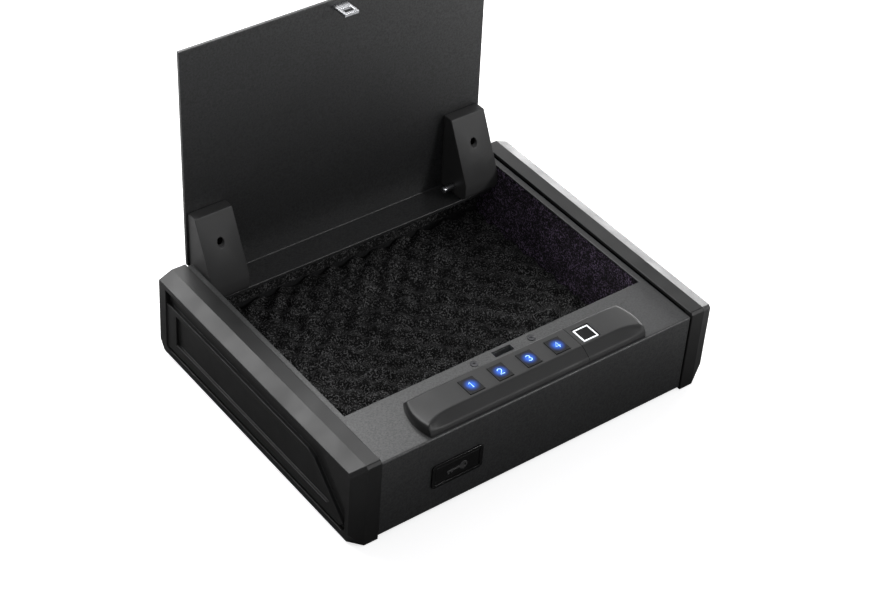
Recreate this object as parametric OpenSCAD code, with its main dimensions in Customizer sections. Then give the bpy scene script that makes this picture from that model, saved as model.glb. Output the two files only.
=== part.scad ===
// Quick-access gun safe: a low steel box with moulded end caps and a lid that swings up.
// Origin: centre of the footprint on the ground. X runs along the front, Y from front to
// rear and Z up. The lid is drawn open.

/* [Body] */
// Width of the steel box between the two end caps
box_w = 272.4; // [266:0.2:300]
// Depth of the safe from front to rear
depth = 244; // [242:1:260]
// Height of the deck and the side rims above the ground
deck_z = 70.3; // [69.5:0.1:74]
// Thickness of the body's sheet steel
sheet_t = 1.5; // [1.2:0.1:1.8]
// Depth of the front deck, over the electronics
deck_d = 51; // [50:0.5:54]
// Width of the rims along both sides
rim_w = 5.2; // [4:0.1:6]

/* [End caps] */
// Width of each end cap
cap_w = 22.5; // [21:0.5:24]
// Height of the end caps' top above the ground
cap_top = 73.5; // [73:0.1:78]
// Gap that shows between the box and each end cap
cap_seam = 0.6; // [0.3:0.1:1]
// Width of the bevel along the cap's outer top edge
bevel_w = 11; // [9:0.2:12]
// Height of the bevel along the cap's outer top edge
bevel_h = 4.8; // [4:0.2:6]

/* [Lid] */
// Thickness of the lid plate
lid_t = 3; // [2:0.5:3]
// Angle between the closed lid and the open lid
open_angle = 92; // [80:1:92]
// Diameter of the hinge pins
pin_d = 5; // [4:0.5:6]
// Width of each hinge arm
arm_w = 31.5; // [26:0.5:34]

/* [Controls] */
// Length of the control console
console_l = 195; // [190:1:200]
// Height of the console above the deck
console_h = 9.1; // [8.5:0.1:10]
// Distance between neighbouring keys
key_pitch = 25.1; // [20:0.1:26]
// Travel of a key
key_travel = 1; // [0.5:0.1:1]

/* [Mounting] */
// Distance between the floor holes along X
mount_x = 200; // [180:5:210]
// Distance between the floor holes along Y
mount_y = 110; // [100:5:120]
// Diameter of the floor holes
mount_d = 7; // [6:0.5:8]

/* [Hidden] */
$fn = 48;
eps = 0.01;

// Box
box_x = box_w / 2;
wall_x = box_x - sheet_t;
front_y = -depth / 2 + 1;
rear_y = depth / 2;
floor_z = 3;
floor_top = floor_z + sheet_t;
deck_low = deck_z - sheet_t;
deck_rear = front_y + deck_d;
rim_x = box_x - rim_w;
edge_r = 1.5;

// Hinge axis and the lid around it, with the lid closed
pin_r = pin_d / 2;
pin_y = rear_y - 11;
pin_z = deck_z - 14.8;
lid_gap = 0.3;
lid_low = deck_z + lid_gap;
lid_top = lid_low + lid_t;
lid_front = front_y + 40;
lid_x = rim_x + 1.2;
skirt_x = rim_x - 0.6;
skirt_low = pin_z - 10;
rear_notch = 11.2;
rear_wall_top = pin_z - 13.1;
run_clear = 0.05;

// Hinge arms
arm_out = rim_x - 0.7;
arm_in = arm_out - arm_w;
arm_wall = 2;

// End caps
cap_in = box_x + cap_seam;
cap_out = cap_in + cap_w;
cap_low = 0.5;
cap_front = -depth / 2;

// Electronics compartment behind the front wall
comp_front = front_y + sheet_t;
cover_t = 1.2;
cover_rear = deck_rear - 0.3;
cover_front = cover_rear - cover_t;

// Console
con_front = front_y + 2;
con_rear = front_y + 39.3;
con_top = deck_z + console_h;
con_ridge = front_y + 11;
con_back = front_y + 32.9;
con_mid = (con_ridge + con_back) / 2 - 0.8;
con_split = 43;
con_wall = 1.8;

// Keys and fingerprint sensor
key_x0 = -47;
key_size = [12.8, 15];
key_proud = 0.4;
key_gap = 0.25;
key_foot_z = con_top - 4.6;
sensor_x = 54;
sensor_y = front_y + 20.8;
sensor_size = 13.2;

// Latch
slot_y = front_y + 45.2;
slot_size = [16.5, 5.3];
bolt_w = 7;
bolt_h = 4.5;
bolt_z = pin_z + 4.8;
bolt_tip = slot_y - slot_size[1] / 2 - 1.1;
bolt_len = 12.5;
latch_screw_x = 25.4;
latch_head = [2.7, 0.8];

// Backup lock
lock_x = -71.9;
lock_z = 33.7;
cover_size = [43.6, 21.2];
crank_r = 8;
crank_rest = 135;
lock_face = front_y + 3.8;
lock_rear = front_y + 26;
plug_r = 4.2;
cam_y = lock_rear + 0.6;
cam_t = 2;
bar_y = cam_y + cam_t + 0.3;
bar_t = 2;

// Foam
foam_t = 3.9;
foam_top = 19;

SIDES = [-1, 1];
MOUNTS = [for (sx = SIDES, sy = SIDES) [sx * mount_x / 2, 25 + sy * mount_y / 2]];
FEET = [for (sx = SIDES, sy = SIDES) [sx * 118, sy * 100]];
CAP_SCREWS = [for (y = [-60, 60], z = [18, 52]) [y, z]];
CONSOLE_SCREWS = [-84, -8.7, 70, 87];
BOARD_SCREWS = [for (x = [-36, 34], y = [-112, -81]) [x, y]];
COVER_SCREWS = [for (sx = SIDES, z = [24, 54]) [sx * 130, z]];

// ---- shared shapes ----

// A block between two opposite corners
module block(low, high) {
    translate(low) cube(high - low);
}

// A rounded rectangle centred on the origin
module rounded_rect(size, r) {
    square([size[0] - 2 * r, size[1]], center = true);
    square([size[0], size[1] - 2 * r], center = true);
    for (sx = SIDES, sy = SIDES)
        translate([sx * (size[0] / 2 - r), sy * (size[1] / 2 - r)]) circle(r);
}

// Draws a Y-Z outline and extrudes it along X, from x0 over a length
module along_x(x0, length) {
    translate([x0, 0, 0]) rotate([90, 0, 90]) linear_extrude(length) children();
}

// Draws an X-Z outline and extrudes it along Y, from y0 over a length
module along_y(y0, length) {
    translate([0, y0 + length, 0]) rotate([90, 0, 0]) linear_extrude(length) children();
}

// A round rod along X, Y or Z from a start point
module rod_x(start, r, length) {
    translate(start) rotate([0, 90, 0]) cylinder(r = r, h = length);
}

module rod_y(start, r, length) {
    translate(start) rotate([-90, 0, 0]) cylinder(r = r, h = length);
}

module rod_z(start, r, length) {
    translate(start) cylinder(r = r, h = length);
}

// The same shape at the left and the right
module both_sides() {
    children();
    mirror([1, 0, 0]) children();
}

// Parts of the lid are drawn closed and swung open about the hinge pins
module swung_open() {
    translate([0, pin_y, pin_z]) rotate([-open_angle, 0, 0]) translate([0, -pin_y, -pin_z]) children();
}

// A pan-head screw along +Z with its head below the origin
module screw(head_r, head_h, shank_r, length) {
    difference() {
        translate([0, 0, -head_h]) cylinder(r = head_r, h = head_h);
        translate([0, 0, -head_h - eps]) cylinder(r = shank_r * 0.8, h = head_h * 0.55, $fn = 6);
    }
    cylinder(r = shank_r, h = length);
}

// A coil spring along X: wire rings joined into one tube
function coil_ring(r, a, pitch, wire_r, sides) = [
    for (k = [0:sides - 1])
        let (b = 360 * k / sides, rr = r + wire_r * cos(b))
            [pitch * a / 360 + wire_r * sin(b), rr * cos(a), rr * sin(a)]
];

module coil(r, wire_r, pitch, turns, steps = 18, sides = 8) {
    count = turns * steps;
    points = [for (i = [0:count]) each coil_ring(r, 360 * i / steps, pitch, wire_r, sides)];
    skin = [
        for (i = [0:count - 1], k = [0:sides - 1])
            let (n = (k + 1) % sides)
                [i * sides + k, i * sides + n, (i + 1) * sides + n, (i + 1) * sides + k]
    ];
    start = [for (k = [sides - 1:-1:0]) k];
    finish = [for (k = [0:sides - 1]) count * sides + k];
    polyhedron(points, concat(skin, [start, finish]));
}

// A round cable through a list of points
module cable(path, r) {
    for (i = [0:len(path) - 2])
        hull() {
            translate(path[i]) sphere(r, $fn = 12);
            translate(path[i + 1]) sphere(r, $fn = 12);
        }
}

// ---- body ----

// Walls, floor, deck and side rims as square-edged plates
module body_walls() {
    block([-box_x, front_y, floor_z], [box_x, comp_front, deck_z]);
    block([-box_x, front_y, deck_low], [box_x, deck_rear, deck_z]);
    block([-box_x, front_y, floor_z], [box_x, rear_y, floor_top]);
    block([-box_x, rear_y - sheet_t, floor_z], [box_x, rear_y, rear_wall_top]);
    both_sides() {
        block([wall_x, front_y, floor_z], [box_x, rear_y, deck_z]);
        block([rim_x, deck_rear - 1, deck_low], [box_x, rear_y, deck_z]);
    }
}

// What the bend between front wall and deck takes off a square edge
module bend_cut() {
    along_x(-box_x - 1, box_w + 2) difference() {
        translate([front_y - 1, deck_z - edge_r]) square(edge_r + 1);
        translate([front_y + edge_r, deck_z - edge_r]) circle(edge_r);
    }
}

// Welded tabs that carry the compartment cover and posts that carry the control board
module body_tabs() {
    for (p = COVER_SCREWS)
        block([p[0] > 0 ? p[0] - 4 : -wall_x, cover_front - 8, p[1] - 4],
              [p[0] > 0 ? wall_x : p[0] + 4, cover_front, p[1] + 4]);
    for (p = BOARD_SCREWS)
        rod_z([p[0], p[1], floor_top - eps], 3, 4.5 + eps);
}

module body_holes() {
    for (p = MOUNTS)
        rod_z([p[0], p[1], floor_z - 1], mount_d / 2, sheet_t + 2);
    for (p = CAP_SCREWS)
        rod_x([-box_x - 1, p[0], p[1]], 2.1, box_w + 2);
    for (p = COVER_SCREWS)
        rod_y([p[0], cover_front - 9, p[1]], 1.5, 10);
    for (p = BOARD_SCREWS)
        rod_z([p[0], p[1], floor_top + 0.5], 1.25, 5);
    for (x = CONSOLE_SCREWS)
        rod_z([x, con_mid, deck_low - 1], 1.7, sheet_t + 2);
    for (sx = SIDES) {
        rod_z([sx * latch_screw_x, slot_y, deck_low - 1], 1.75, sheet_t + 2);
        rod_z([sx * latch_screw_x, slot_y, deck_z - latch_head[1]], latch_head[0] + 0.35, 2);
    }
    translate([0, slot_y, deck_low - 1]) linear_extrude(sheet_t + 2)
        square(slot_size, center = true);
    rod_z([-32, con_mid, deck_low - 1], 4, sheet_t + 2);
    along_y(front_y - 1, sheet_t + 2)
        translate([lock_x, lock_z]) rounded_rect([cover_size[0] - 2.4, cover_size[1] - 2.4], 2);
}

module body_shell() {
    color("#2b2c2e") difference() {
        union() {
            body_walls();
            body_tabs();
        }
        bend_cut();
        body_holes();
    }
}

// Steel lugs welded inside the side walls; each carries one hinge pin
module hinge_lugs() {
    color("#3a3b3d") both_sides() difference() {
        along_x(rim_x + 0.1, wall_x - rim_x - 0.1) union() {
            translate([pin_y, pin_z]) circle(8);
            translate([pin_y - 8, pin_z - 14]) square([16, 14]);
        }
        rod_x([rim_x - 1, pin_y, pin_z], pin_r, wall_x);
    }
}

// ---- end caps ----

// Depths of the side panel's steps below the cap's outer face
groove_depth = 4.2;
plateau_depth = 1.2;
panel_depth = 3.6;

// Outline of the recess in the side panel, measured from the cap's front corner
module recess_outline() {
    polygon([
        [234.8, 64.9], [37.3, 64.9], [8.9, 34.4], [8.9, 13.9], [13.4, 9.5], [231.8, 9.5],
        [234.8, 12.5]
    ]);
}

module plateau_outline() {
    polygon([
        [235.8, 52.5], [55.7, 52.5], [47.7, 49.9], [11.9, 16.3], [15.9, 12.1], [235.8, 12.1]
    ]);
}

module panel_outline() {
    polygon([
        [222.9, 47.9], [55.7, 47.9], [50.7, 45.4], [28.8, 24.4], [31.8, 20.9], [222.9, 20.9]
    ]);
}

module cap_side_recess() {
    translate([cap_out - groove_depth, cap_front, 0]) rotate([90, 0, 90]) {
        linear_extrude(groove_depth + 1) difference() {
            recess_outline();
            plateau_outline();
        }
        translate([0, 0, groove_depth - plateau_depth]) linear_extrude(2) intersection() {
            recess_outline();
            plateau_outline();
        }
        translate([0, 0, groove_depth - panel_depth]) linear_extrude(3) panel_outline();
    }
}

// The cap's outside: bevelled at the top, drawn in at the foot, with a raked front corner and a
// chamfered lip along the front of its top
module cap_outer() {
    lip = 2.2;
    nose_x = cap_out - bevel_w;
    foot_x = cap_out - 3;
    side_y = cap_front + 4.2;
    side_low = cap_low + 13;
    side_top = cap_top - bevel_h;
    polyhedron(
        points = [
            [cap_in, cap_front, cap_low], [nose_x, cap_front, cap_low],
            [foot_x, cap_front + 10, cap_low], [foot_x, rear_y, cap_low], [cap_in, rear_y, cap_low],
            [cap_out, side_y, side_low], [cap_out, rear_y, side_low],
            [cap_in, cap_front, cap_top - lip], [nose_x, cap_front, cap_top - lip],
            [cap_out, side_y, side_top - lip],
            [cap_in, cap_front + lip, cap_top], [nose_x, cap_front + lip, cap_top],
            [cap_out, side_y + lip, side_top],
            [nose_x, rear_y, cap_top], [cap_out, rear_y, side_top], [cap_in, rear_y, cap_top]
        ],
        faces = [
            [0, 1, 2, 3, 4], [10, 15, 13, 11], [0, 4, 15, 10, 7], [14, 13, 15, 4, 3, 6],
            [11, 13, 14, 12], [5, 9, 12, 14, 6], [5, 6, 3, 2], [5, 2, 1], [8, 9, 5, 1],
            [7, 8, 1, 0], [10, 11, 8, 7], [11, 12, 9, 8]
        ]
    );
}

// Hollow behind the cap's skin, open towards the box
module cap_pocket() {
    skin = 2.6;
    reach = cap_out - groove_depth - skin;
    along_y(cap_front + 8, depth - 11) polygon([
        [cap_in - 1, cap_low + skin], [reach, cap_low + skin], [reach, cap_top - bevel_h - 3],
        [cap_out - bevel_w - skin, cap_top - skin], [cap_in - 1, cap_top - skin]
    ]);
}

module cap_bosses() {
    reach = cap_out - groove_depth - 2.7;
    for (p = CAP_SCREWS)
        rod_x([box_x, p[0], p[1]], 4.5, reach - box_x);
}

module end_cap() {
    difference() {
        union() {
            difference() {
                cap_outer();
                cap_pocket();
            }
            cap_bosses();
        }
        cap_side_recess();
        for (p = CAP_SCREWS)
            rod_x([box_x - 1, p[0], p[1]], 1.6, 11);
    }
}

module right_end_cap() {
    color("#333436") end_cap();
}

module left_end_cap() {
    color("#333436") mirror([1, 0, 0]) end_cap();
}

// Screws from inside the box into the caps' bosses
module cap_screws() {
    color("#8a8c90") both_sides()
        for (p = CAP_SCREWS)
            translate([wall_x, p[0], p[1]]) rotate([0, 90, 0]) screw(3.4, 2, 1.6, 11);
}

// Four screwed feet, and a glued pad that holds up the middle of the floor
module rubber_feet() {
    color("#151515") {
        for (p = FEET)
            translate([p[0], p[1], 0]) difference() {
                cylinder(r = 8, h = floor_z);
                translate([0, 0, -eps]) cylinder(r = 3, h = 1);
            }
        rod_z([0, 0, 0], 11, floor_z);
    }
}

// ---- lid ----

// Lid section in the Y-Z plane: plate, rounded fold and rear skirt
module lid_outline() {
    fold_r = lid_t;
    difference() {
        union() {
            translate([lid_front, lid_low]) square([rear_y - lid_front, lid_t]);
            translate([rear_y - lid_t, skirt_low]) square([lid_t, lid_top - skirt_low]);
        }
        difference() {
            translate([rear_y - fold_r, lid_top - fold_r]) square(fold_r + eps);
            translate([rear_y - fold_r, lid_top - fold_r]) circle(fold_r);
        }
    }
}

module lid_panel() {
    color("#2e2f31") swung_open() difference() {
        along_x(-lid_x, 2 * lid_x) lid_outline();
        both_sides()
            block([skirt_x, pin_y - rear_notch, skirt_low - 1], [lid_x + 1, rear_y + 1, lid_top + 1]);
    }
}

// Side profile of a hinge arm around the pin, with the lid closed. The numbers run from the
// pin: forward along the lid, and up towards it.
module arm_outline(inset = 0) {
    up = lid_low - pin_z - eps;
    heel_r = 6 - inset;
    points = [
        [-57.5 + inset, up], [-57.5 + inset, 6 + inset], [-8.5 + inset * 0.7, -16 + inset],
        [0, -16 + inset], [0, up]
    ];
    translate([pin_y, pin_z]) {
        polygon(points);
        translate([-eps, up - 20]) square([6 - inset + eps, 20]);
        translate([0, -10]) circle(heel_r);
        translate([0, -10]) square([heel_r, up]);
    }
}

module hinge_arm() {
    screw_out = 46;
    difference() {
        along_x(arm_in, arm_w) arm_outline();
        along_x(arm_in + arm_wall, arm_w - 2 * arm_wall) arm_outline(arm_wall);
        rod_x([arm_in - 1, pin_y, pin_z], pin_r + run_clear, arm_w + 2);
        translate([arm_in + arm_w / 2, pin_y - 38, pin_z]) rotate([24, 0, 0])
            translate([0, 0, -screw_out]) cylinder(r = 2.6, h = screw_out);
    }
}

module right_hinge_arm() {
    color("#333436") swung_open() hinge_arm();
}

module left_hinge_arm() {
    color("#333436") swung_open() mirror([1, 0, 0]) hinge_arm();
}

// A hinge pin held in its lug, with a grooved and chamfered end that stands out of the arm
module hinge_pin(reach) {
    free_end = arm_in - reach;
    chamfer = 0.6;
    translate([free_end, pin_y, pin_z]) rotate([0, 90, 0]) rotate_extrude() polygon([
        [0, 0], [pin_r - chamfer, 0], [pin_r, chamfer], [pin_r, 2.2], [pin_r - 0.6, 2.2],
        [pin_r - 0.6, 3.2], [pin_r, 3.2], [pin_r, wall_x - free_end], [0, wall_x - free_end]
    ]);
}

module right_hinge_pin() {
    color("#b9bcc0") hinge_pin(10);
}

module left_hinge_pin() {
    color("#b9bcc0") mirror([1, 0, 0]) hinge_pin(3.4);
}

// Torsion spring around the pin inside the hinge arm; it lifts the lid
module lid_spring() {
    wire_r = 0.5;
    turns = 9;
    pitch = 1.5;
    translate([arm_in + 8, pin_y, pin_z]) coil(pin_r + wire_r + 0.15, wire_r, pitch, turns);
}

module right_lid_spring() {
    color("#8f9297") lid_spring();
}

module left_lid_spring() {
    color("#8f9297") mirror([1, 0, 0]) lid_spring();
}

// Tongue under the lid's front edge with a window for the latch bolt
module striker() {
    tongue_t = 2.5;
    tongue_w = 12;
    reach = 15.6;
    color("#a5a8ac") swung_open() difference() {
        union() {
            block([-tongue_w / 2, slot_y - tongue_t / 2, lid_low - reach],
                  [tongue_w / 2, slot_y + tongue_t / 2, lid_low]);
            block([-tongue_w / 2, slot_y - tongue_t / 2, lid_low - 0.001],
                  [tongue_w / 2, slot_y + tongue_t / 2, lid_low]);
        }
        block([-bolt_w / 2 - 0.5, slot_y - 3, bolt_z - bolt_h / 2 - 0.7],
              [bolt_w / 2 + 0.5, slot_y + 3, bolt_z + bolt_h / 2 + 0.7]);
    }
}

// ---- console ----

// Cross-section of the console: front slope, flat top and rear slope
module console_section(inset = 0) {
    low = inset > 0 ? deck_z - 1 : deck_z;
    polygon([
        [con_front + inset, low], [con_front + inset, deck_z + 3.1 - inset * 0.2],
        [con_ridge + inset * 0.4, con_top - inset], [con_back - inset * 0.6, con_top - inset],
        [con_rear - inset, low]
    ]);
}

// Seen from the front: the top falls away in an arc towards both ends
module console_front_view(inset = 0) {
    flat_x = 67;
    fall_r = 320;
    low = inset > 0 ? deck_z - 1 : deck_z;
    intersection() {
        translate([-console_l / 2 + inset, low])
            square([console_l - 2 * inset, con_top - inset - low]);
        union() {
            translate([-flat_x, low]) square([2 * flat_x, 20]);
            for (sx = SIDES)
                translate([sx * flat_x, con_top - fall_r]) circle(fall_r - inset, $fn = 200);
        }
    }
}

// Seen from above: both ends are bowed outwards
module console_plan(inset = 0) {
    end_r = 40;
    end_x = console_l / 2 - end_r;
    intersection() {
        translate([-console_l / 2, con_front]) square([console_l, con_rear - con_front]);
        union() {
            translate([-end_x, con_front]) square([2 * end_x, con_rear - con_front]);
            for (sx = SIDES)
                translate([sx * end_x, con_front + 15]) circle(end_r - inset, $fn = 120);
        }
    }
}

module console_solid(inset = 0) {
    intersection() {
        along_x(-console_l / 2, console_l) console_section(inset);
        along_y(con_front - 1, con_rear - con_front + 2) console_front_view(inset);
        translate([0, 0, deck_z - 2]) linear_extrude(console_h + 4) console_plan(inset);
    }
}

module console_shell() {
    difference() {
        console_solid();
        console_solid(con_wall);
    }
}

// Bosses for the screws that come up through the deck
module console_bosses(from_x, to_x) {
    intersection() {
        for (x = CONSOLE_SCREWS)
            if (x > from_x && x < to_x) rod_z([x, con_mid, deck_z], 3, console_h);
        console_solid();
    }
}

module console_screw_holes() {
    for (x = CONSOLE_SCREWS)
        rod_z([x, con_mid, deck_z - 1], 1.45, 5.1);
}

module key_openings() {
    for (i = [0:3])
        translate([key_x0 + i * key_pitch, con_mid, con_top - 4]) linear_extrude(8)
            square([key_size[0] + 2 * key_gap, key_size[1] + 2 * key_gap], center = true);
}

module control_housing() {
    color("#37383a") difference() {
        intersection() {
            union() {
                console_shell();
                console_bosses(-200, con_split);
            }
            block([-200, -200, 0], [con_split - 0.2, 200, 200]);
        }
        key_openings();
        console_screw_holes();
    }
}

module biometric_housing() {
    dish = 0.5;
    color("#343537") difference() {
        intersection() {
            union() {
                console_shell();
                console_bosses(con_split, 200);
                translate([sensor_x, sensor_y, con_top - 5]) linear_extrude(4)
                    square(sensor_size + 4, center = true);
            }
            block([con_split + 0.2, -200, 0], [200, 200, 200]);
        }
        translate([sensor_x, sensor_y, con_top - dish]) linear_extrude(4)
            rounded_rect([sensor_size + 1.4, sensor_size + 1.4], 0.6);
        translate([sensor_x, sensor_y, con_top - 6]) linear_extrude(8)
            square(sensor_size, center = true);
        console_screw_holes();
    }
}

// A key with a wider foot that keeps it in the housing
module key_cap(i) {
    foot = 1.1;
    translate([key_x0 + i * key_pitch, con_mid, 0]) {
        translate([0, 0, con_top - 4]) linear_extrude(4 + key_proud)
            square(key_size, center = true);
        translate([0, 0, key_foot_z]) linear_extrude(1.4)
            square([key_size[0] + 2 * foot, key_size[1] + 2 * foot], center = true);
    }
}

module key_1() {
    color("#1f6fe8") key_cap(0);
}

module key_2() {
    color("#1f6fe8") key_cap(1);
}

module key_3() {
    color("#1f6fe8") key_cap(2);
}

module key_4() {
    color("#1f6fe8") key_cap(3);
}

// Light surround of the fingerprint sensor
module sensor_frame() {
    color("#f2f2f2") translate([sensor_x, sensor_y, con_top - 3]) linear_extrude(2.7)
        difference() {
            square(sensor_size - 0.1, center = true);
            square(sensor_size - 1.9, center = true);
        }
}

module fingerprint_sensor() {
    color("#101012") translate([sensor_x, sensor_y, con_top - 3]) linear_extrude(2.4)
        square(sensor_size - 2, center = true);
}

board_z = deck_z + 1;
board_t = 1.2;

module keypad_board() {
    color("#1d5c34") difference() {
        translate([0, con_mid, board_z]) linear_extrude(board_t)
            translate([-9, 0]) square([132, 19], center = true);
        for (x = CONSOLE_SCREWS)
            rod_z([x, con_mid, board_z - 1], 3.4, board_t + 2);
    }
}

// A tact switch under each key
module key_switches() {
    color("#222326") for (i = [0:3])
        translate([key_x0 + i * key_pitch, con_mid, board_z + board_t]) {
            linear_extrude(0.7) square(6, center = true);
            cylinder(r = 1.6, h = key_foot_z - key_travel - 0.2 - board_z - board_t);
        }
}

module console_screws() {
    color("#8a8c90") for (x = CONSOLE_SCREWS)
        translate([x, con_mid, deck_low]) screw(2.8, 1.6, 1.4, 5);
}

// ---- latch ----

// Two flush screws beside the slot that hold the latch bracket under the deck
module deck_screws() {
    color("#55575a") for (sx = SIDES)
        translate([sx * latch_screw_x, slot_y, deck_z - latch_head[1]]) rotate([180, 0, 0])
            screw(latch_head[0], latch_head[1], 1.6, 4.5);
}

bracket_t = 2;

module latch_bracket() {
    plate_z = deck_low - bracket_t;
    base_z = bolt_z - 10.5;
    front_end = slot_y - 38;
    color("#9a9da1") difference() {
        union() {
            block([-31, slot_y - 6, plate_z], [31, slot_y + 4.3, deck_low]);
            block([-14, slot_y - 8, base_z], [14, slot_y - 6, deck_low]);
            block([-14, front_end, base_z - bracket_t], [14, slot_y + 4.3, base_z]);
            block([-14, slot_y + 2.8, base_z], [14, slot_y + 4.3, deck_low]);
            block([-14, slot_y - 19, base_z], [-12, slot_y - 6, bolt_z + 6]);
        }
        block([-slot_size[0] / 2 - 0.5, slot_y - 3, plate_z - 1],
              [slot_size[0] / 2 + 0.5, slot_y + 2.8, deck_low + 1]);
        block([-bolt_w / 2 - 0.1, slot_y - 9, bolt_z - bolt_h / 2 - 0.1],
              [bolt_w / 2 + 0.1, slot_y - 5, bolt_z + bolt_h / 2 + 0.1]);
        block([-15, bar_y - 0.2, bolt_z - 3.3], [-11, bar_y + bar_t + 0.2, bolt_z + 3.3]);
        for (sx = SIDES)
            rod_z([sx * latch_screw_x, slot_y, plate_z - 1], 1.6, 4);
    }
}

plunger_r = 3;

module solenoid() {
    low = slot_y - 37;
    length = 19;
    color("#7c4a22") difference() {
        union() {
            block([-9, low, bolt_z - 10.5], [9, low + length, bolt_z - 8]);
            along_y(low, length) translate([0, bolt_z]) rounded_rect([18, 13], 3);
        }
        rod_y([0, low + 1, bolt_z], plunger_r + run_clear, length);
    }
}

// Sliding bolt with the solenoid's plunger pinned to it
module latch_bolt() {
    color("#c0c3c7") {
        block([-bolt_w / 2, bolt_tip - bolt_len, bolt_z - bolt_h / 2],
              [bolt_w / 2, bolt_tip, bolt_z + bolt_h / 2]);
        block([-8, bolt_tip - bolt_len, bolt_z - bolt_h / 2],
              [-bolt_w / 2 + eps, bolt_tip - bolt_len + 1.2, bolt_z + bolt_h / 2]);
        rod_y([0, bolt_tip - bolt_len - 15, bolt_z], plunger_r, 15 + eps);
    }
}

// ---- backup lock ----

sleeve_size = [cover_size[0] - 2.6, cover_size[1] - 2.6];
mouth_size = [sleeve_size[0] - 2.8, sleeve_size[1] - 2.8];
cover_t_y = 2;
cover_gap = 0.35;
cover_axis_y = front_y + 0.2;
cover_axis_z = lock_z + mouth_size[1] / 2 - cover_gap - cover_t_y / 2;
bezel_front = front_y - 1.4;

// Frame in the front wall with a pocket for the lock
module key_cover_frame() {
    color("#1c1d1f") difference() {
        union() {
            along_y(bezel_front, front_y - bezel_front)
                translate([lock_x, lock_z]) rounded_rect(cover_size, 3);
            along_y(front_y - eps, 7)
                translate([lock_x, lock_z]) rounded_rect(sleeve_size, 1.8);
        }
        along_y(bezel_front - 1, front_y - bezel_front + 6)
            translate([lock_x, lock_z]) rounded_rect(mouth_size, 1);
        rod_y([lock_x, front_y, lock_z], 6, 10);
        rod_x([lock_x - mouth_size[0] / 2 - 1.1, cover_axis_y, cover_axis_z], 0.8,
              mouth_size[0] + 2.2);
    }
}

// Flap over the key lock, hung on two small trunnions at its top, with a raised key symbol
module key_cover() {
    half_w = mouth_size[0] / 2 - cover_gap;
    height = mouth_size[1] - 2 * cover_gap;
    color("#242527") {
        block([lock_x - half_w, cover_axis_y - cover_t_y / 2, cover_axis_z - height + cover_t_y / 2],
              [lock_x + half_w, cover_axis_y + cover_t_y / 2, cover_axis_z]);
        rod_x([lock_x - half_w, cover_axis_y, cover_axis_z], cover_t_y / 2, 2 * half_w);
        rod_x([lock_x - half_w - cover_gap - 0.8, cover_axis_y, cover_axis_z], 0.75,
              2 * (half_w + cover_gap + 0.8));
        along_y(cover_axis_y - cover_t_y / 2 - 0.5, 0.5 + eps) key_symbol();
    }
}

// A plain key outline: round bow, shaft and two teeth
module key_symbol() {
    translate([lock_x, lock_z - 0.4]) {
        difference() {
            translate([5, 0]) circle(3.4);
            translate([6, 0]) circle(1.1);
        }
        translate([-9, -0.8]) square([11, 1.6]);
        translate([-8.4, -2.6]) square([1.4, 2.2]);
        translate([-5.6, -2.2]) square([1.4, 1.8]);
    }
}

module lock_barrel() {
    color("#b4b6ba") difference() {
        union() {
            rod_y([lock_x, front_y + 5, lock_z], 6, lock_rear - front_y - 5);
            rod_y([lock_x, lock_face, lock_z], 7.4, 1.2);
        }
        rod_y([lock_x, lock_face - 1, lock_z], plug_r + run_clear, 40);
    }
}

module lock_nut() {
    color("#c9b26a") difference() {
        along_y(front_y + 7, 3) translate([lock_x, lock_z]) circle(9.5, $fn = 6);
        rod_y([lock_x, front_y, lock_z], 6, 20);
    }
}

module lock_plug() {
    color("#d0cfc8") difference() {
        union() {
            rod_y([lock_x, lock_face + 0.2, lock_z], plug_r, cam_y - lock_face - 0.2);
            along_y(cam_y - eps, cam_t + eps) translate([lock_x, lock_z]) square(5, center = true);
        }
        block([lock_x - 0.6, lock_face, lock_z - 3.2], [lock_x + 0.6, lock_face + 8, lock_z + 3.2]);
    }
}

// Crank on the plug's rear end; its pin moves the release bar
module lock_cam() {
    color("#a5a8ac") translate([lock_x, cam_y, lock_z]) rotate([0, -crank_rest + 90, 0])
        difference() {
            union() {
                along_y(0, cam_t) {
                    circle(6.4);
                    translate([-3.4, 0]) square([6.8, crank_r]);
                    translate([0, crank_r]) circle(3.4);
                }
                rod_y([0, cam_t - eps, crank_r], 1.9, 2.4);
            }
            rotate([0, crank_rest - 90, 0]) along_y(-1, cam_t + 2) square(5, center = true);
        }
}

// Flat bar from the crank to the latch bolt; it slides along X when the key turns
module release_bar() {
    pin_x = lock_x - crank_r * cos(45);
    low = lock_z + 2.2;
    slot_mid = lock_z + crank_r * (1 + cos(45)) / 2;
    color("#8f9296") difference() {
        along_y(bar_y, bar_t) union() {
            translate([pin_x - 5, low]) square([46, 12]);
            translate([pin_x + 33, low]) square([8, bolt_z + 3 - low]);
            translate([pin_x + 33, bolt_z - 3]) square([-20.5 - pin_x - 33, 6]);
        }
        along_y(cam_y, 10) translate([pin_x, slot_mid]) rounded_rect([4.7, 7.4], 2.3);
    }
}

// ---- electronics compartment ----

battery_x = [50, 106];
cell_r = 7.1;
cell_len = 50;
cell_pitch = 14.6;
cell_y = cover_front - 8.6;
cell_z0 = 14;

// Steel cover between the electronics and the storage space
module compartment_cover() {
    color("#2b2c2e") difference() {
        block([-wall_x + 0.2, cover_front, floor_top + 0.1], [wall_x - 0.2, cover_rear, deck_low - 0.1]);
        block([battery_x[0] + 2, cover_front - 1, 8], [battery_x[1] - 2, cover_rear + 1, 64]);
        for (p = COVER_SCREWS)
            rod_y([p[0], cover_front - 1, p[1]], 1.7, cover_t + 2);
    }
}

module cover_screws() {
    color("#8a8c90") for (p = COVER_SCREWS)
        translate([p[0], cover_rear, p[1]]) rotate([90, 0, 0]) screw(3, 1.6, 1.5, 8);
}

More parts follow.
